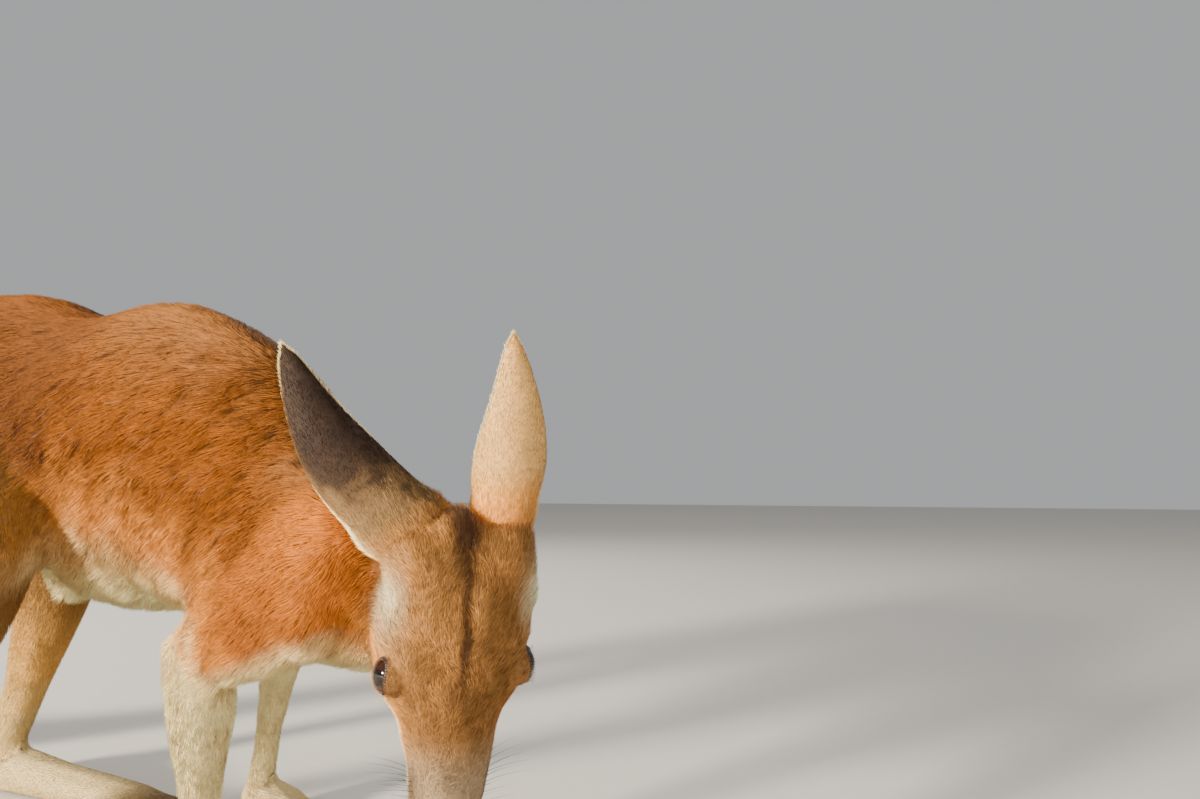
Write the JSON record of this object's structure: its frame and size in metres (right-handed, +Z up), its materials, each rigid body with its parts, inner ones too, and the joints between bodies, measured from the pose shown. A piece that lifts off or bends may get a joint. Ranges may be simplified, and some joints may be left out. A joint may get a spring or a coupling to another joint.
{
  "type": "red kangaroo",
  "caption": "Still, life-size model of a red kangaroo on all fours, head hanging straight down to feed, tail laid along the ground behind.",
  "frame": {"origin": "middle of the bounding box at floor level, with the soles, palms and tail on the plane z = 0", "axes": "+Z up; the animal faces -Y, its right side is -X, and its tail runs out towards +Y"},
  "size_m": [0.3616, 1.6746, 0.5389],
  "materials": {
    "rufous_coat": "short dense orange-brown fur",
    "cream_coat": "short cream fur",
    "tan_coat": "short tan fur",
    "ear_coat": "thin grey-brown fur over a cupped ear",
    "eye": "wet dark brown",
    "claw": "dark horn"
  },
  "bodies": {
    "root": {"head": "rufous_coat", "neck": "rufous_coat", "chest": "rufous_coat", "belly": "rufous_coat", "rump": "rufous_coat", "thigh_right": "rufous_coat", "thigh_left": "rufous_coat", "upper_arm_right": "rufous_coat", "upper_arm_left": "rufous_coat", "forearm_right": "cream_coat", "forearm_left": "cream_coat", "hand_right": "cream_coat", "hand_left": "cream_coat", "foot_right": "cream_coat", "foot_left": "cream_coat", "shin_right": "tan_coat", "shin_left": "tan_coat", "tail_root": "tan_coat", "tail_middle": "tan_coat", "tail_end": "tan_coat", "ear_right": "ear_coat", "ear_left": "ear_coat", "eye_right": "eye", "eye_left": "eye", "claw_left_finger1": "claw", "claw_left_finger2": "claw", "claw_left_finger3": "claw", "claw_left_finger4": "claw", "claw_left_finger5": "claw", "claw_left_toe2": "claw", "claw_left_toe3": "claw", "claw_left_toe4": "claw", "claw_left_toe5": "claw", "claw_right_finger1": "claw", "claw_right_finger2": "claw", "claw_right_finger3": "claw", "claw_right_finger4": "claw", "claw_right_finger5": "claw", "claw_right_toe2": "claw", "claw_right_toe3": "claw", "claw_right_toe4": "claw", "claw_right_toe5": "claw"}
  },
  "joints": []
}
